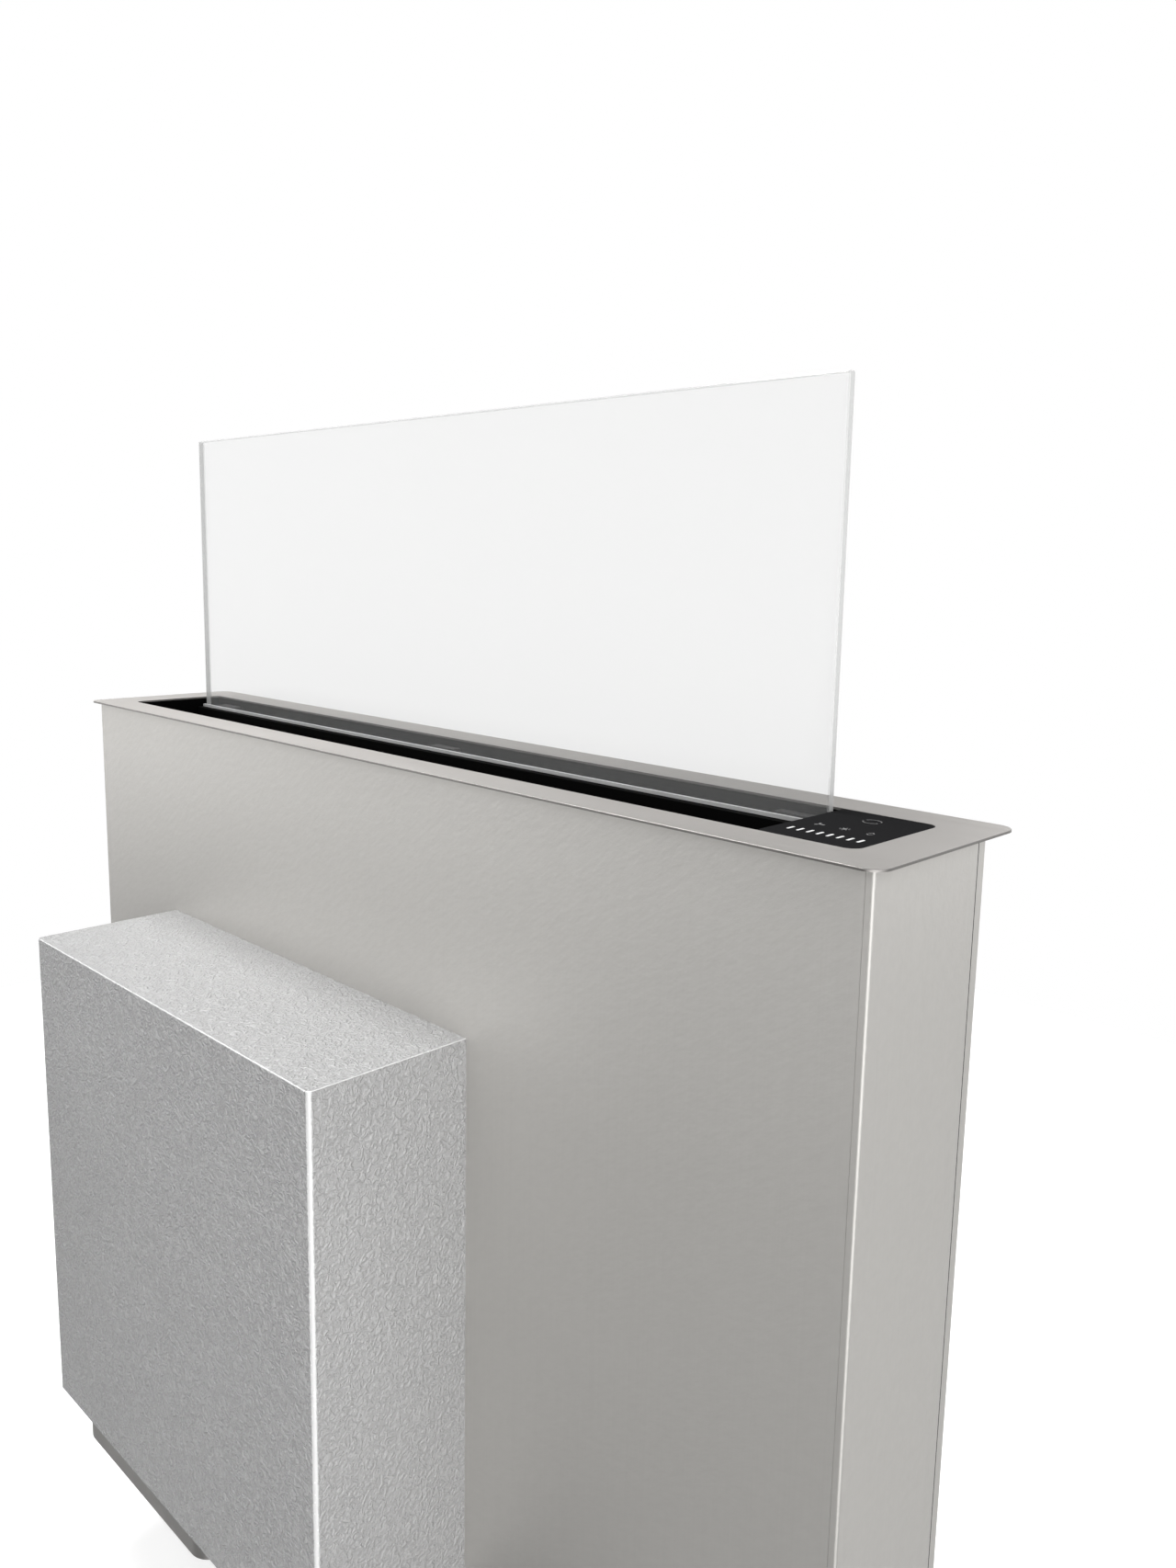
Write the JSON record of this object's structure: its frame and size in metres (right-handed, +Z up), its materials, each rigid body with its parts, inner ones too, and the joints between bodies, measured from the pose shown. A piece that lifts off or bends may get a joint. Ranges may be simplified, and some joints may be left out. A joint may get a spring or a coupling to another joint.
{
  "type": "downdraft vent",
  "caption": "Worktop downdraft vent: a glass screen rises on lead screws from a slot with a touch control, and a fan box draws air through grease filters to a flat duct.",
  "frame": {"origin": "centre of the worktop cut-out, on the worktop's surface, which is the underside of the flange", "axes": "+X to the right along the slot, +Y away from the cook, +Z up; the glass is drawn raised"},
  "size_m": [0.936, 0.2655, 1.0045],
  "materials": {
    "brushed_flange": "brushed along its length",
    "brushed_body": "fine brushed stainless steel",
    "galvanised": "stucco-embossed galvanised steel",
    "galvanised_inner": "plain galvanised steel",
    "black_metal": "matt black",
    "screen_glass": "clear toughened glass",
    "black_glass": "black glass, polished",
    "aluminium": "anodised",
    "zinc_steel": "zinc plated",
    "brass": "turned",
    "black_plastic": "moulded",
    "grey_plastic": "moulded",
    "rubber": "moulded",
    "circuit_board": "solder-resist green",
    "motor_steel": "turned and lacquered"
  },
  "bodies": {
    "chassis": {"top_flange": "brushed_flange", "front_panel": "brushed_body", "side_panel_left": "brushed_body", "side_panel_right": "brushed_body", "rear_cover": "brushed_body", "bottom_plate": "galvanised_inner", "air_divider": "galvanised_inner", "uprights": "galvanised_inner", "drip_tray": "galvanised_inner", "fan_scroll": "galvanised_inner", "duct_spigot": "galvanised_inner", "floor_brackets": "galvanised_inner", "fan_inlet_ring": "galvanised_inner", "fan_box": "galvanised", "fan_box_ends": "galvanised", "inlet_liner": "black_metal", "glass_wiper": "rubber", "glass_guide_pads": "black_plastic", "control_glass": "black_glass", "control_housing": "black_plastic", "control_board": "circuit_board", "guide_rails": "zinc_steel", "screw_bearings": "grey_plastic", "drive_belt": "rubber", "lift_motor": "motor_steel", "flap_pins": "zinc_steel", "fan_stator": "motor_steel", "fan_mounts": "rubber", "control_unit": "black_plastic", "power_board": "circuit_board", "terminal_box": "grey_plastic", "run_capacitor": "grey_plastic", "cable_gland": "black_plastic", "panel_screws": "zinc_steel"},
    "glass_screen": {"glass_panel": "screen_glass", "glass_trim": "aluminium", "clamp_bars": "black_metal", "clamp_gaskets": "rubber", "clamp_screws": "zinc_steel", "lift_beam": "aluminium", "carriages": "black_plastic", "lift_nuts": "brass"},
    "screw_left": {"lead_screw_left": "zinc_steel", "screw_pulley_left": "black_plastic", "motor_coupling": "aluminium"},
    "screw_right": {"lead_screw_right": "zinc_steel", "screw_pulley_right": "black_plastic"},
    "fan": {"fan_shaft": "zinc_steel", "fan_rotor": "motor_steel", "fan_wheel": "black_plastic"},
    "outlet_flap_front": {"flap_front": "aluminium", "flap_spring_front": "zinc_steel"},
    "outlet_flap_rear": {"flap_rear": "aluminium", "flap_spring_rear": "zinc_steel"},
    "grease_filter_left": {"filter_frame_left": "black_metal", "filter_core_left": "black_metal", "filter_handle_left": "zinc_steel"},
    "grease_filter_right": {"filter_frame_right": "black_metal", "filter_core_right": "black_metal", "filter_handle_right": "zinc_steel"}
  },
  "joints": [
    {"name": "glass_lift", "type": "slide", "parent": "chassis", "child": "glass_screen", "axis": [0, 0, 1], "range_m": [-0.25, 0]},
    {"name": "screw_left_spin", "type": "hinge", "parent": "chassis", "child": "screw_left", "pos_m": [-0.413, 0.029, -0.2], "axis": [0, 0, 1], "range_deg": [-11251, 1]},
    {"name": "screw_right_spin", "type": "hinge", "parent": "chassis", "child": "screw_right", "pos_m": [0.413, 0.029, -0.2], "axis": [0, 0, 1], "range_deg": [-11251, 1]},
    {"name": "fan_spin", "type": "hinge", "parent": "chassis", "child": "fan", "pos_m": [-0.138, -0.12875, -0.345], "axis": [0, 1, 0], "continuous": true},
    {"name": "flap_front_swing", "type": "hinge", "parent": "chassis", "child": "outlet_flap_front", "pos_m": [-0.176, -0.13225, -0.604], "axis": [1, 0, 0], "range_deg": [0, 80], "stiffness_Nm_per_rad": 0.015, "springref_deg": -45.84},
    {"name": "flap_rear_swing", "type": "hinge", "parent": "chassis", "child": "outlet_flap_rear", "pos_m": [-0.176, -0.12525, -0.604], "axis": [-1, 0, 0], "range_deg": [0, 80], "stiffness_Nm_per_rad": 0.015, "springref_deg": -45.84},
    {"name": "filter_left_lift", "type": "slide", "parent": "chassis", "child": "grease_filter_left", "axis": [0, 0, 1], "range_m": [0, 0.12]},
    {"name": "filter_right_lift", "type": "slide", "parent": "chassis", "child": "grease_filter_right", "axis": [0, 0, 1], "range_m": [0, 0.12]}
  ],
  "couplings": [
    {"joint": "screw_left_spin", "follows": "glass_lift", "rad_per_m": 785.4},
    {"joint": "screw_right_spin", "follows": "glass_lift", "rad_per_m": 785.4}
  ]
}
